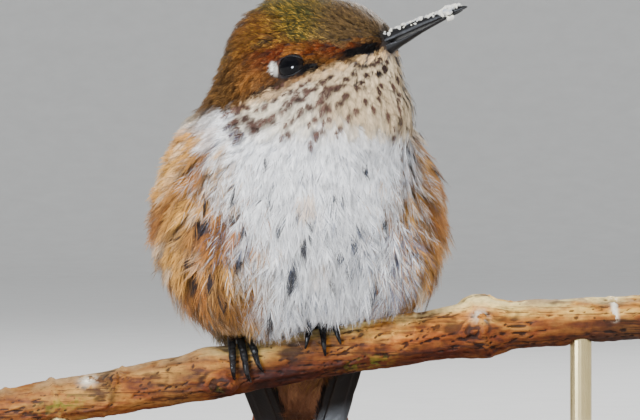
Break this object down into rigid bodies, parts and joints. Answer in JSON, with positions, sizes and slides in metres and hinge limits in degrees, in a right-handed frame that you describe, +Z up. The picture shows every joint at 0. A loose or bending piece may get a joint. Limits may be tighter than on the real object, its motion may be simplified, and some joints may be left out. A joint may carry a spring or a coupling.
{
  "type": "perched hummingbird on a display stand",
  "caption": "Life-size still model of a fluffed-up female scintillant hummingbird gripping a cut twig, held by a flat base and two rods.",
  "frame": {"origin": "centre of the underside of the stand's base, at the level of the floor", "axes": "+X along the twig towards its higher end and the side the bill points to, +Y from the bird's breast to its back, +Z up"},
  "size_m": [0.0886, 0.056, 0.073],
  "materials": {
    "plumage": "soft contour feathers: rufous face, bronze-green crown and back, white breast, cinnamon flanks",
    "flight_feather": "smooth dusky vanes with a faint sheen, rufous in the tail",
    "eye": "wet and glossy, nearly black",
    "bill": "black horn, satin, dusted with white pollen along its upper edge",
    "foot": "black scaled skin",
    "claw": "glossy black horn",
    "bark": "tan and orange-brown bark, fissured, with pale and green lichen",
    "stand_wood": "dark walnut, satin",
    "stand_metal": "brushed"
  },
  "bodies": {
    "root": {"head": "plumage", "neck": "plumage", "trunk": "plumage", "wing_left": "flight_feather", "wing_right": "flight_feather", "tail": "flight_feather", "eye_left": "eye", "eye_right": "eye", "bill_upper": "bill", "bill_lower": "bill", "leg_left": "foot", "leg_right": "foot", "toe_left_inner": "foot", "toe_left_middle": "foot", "toe_left_outer": "foot", "toe_left_hind": "foot", "toe_right_inner": "foot", "toe_right_middle": "foot", "toe_right_outer": "foot", "toe_right_hind": "foot", "claw_left_inner": "claw", "claw_left_middle": "claw", "claw_left_outer": "claw", "claw_left_hind": "claw", "claw_right_inner": "claw", "claw_right_middle": "claw", "claw_right_outer": "claw", "claw_right_hind": "claw", "perch": "bark", "stand_base": "stand_wood", "stand_rod_left": "stand_metal", "stand_rod_right": "stand_metal"}
  },
  "joints": []
}
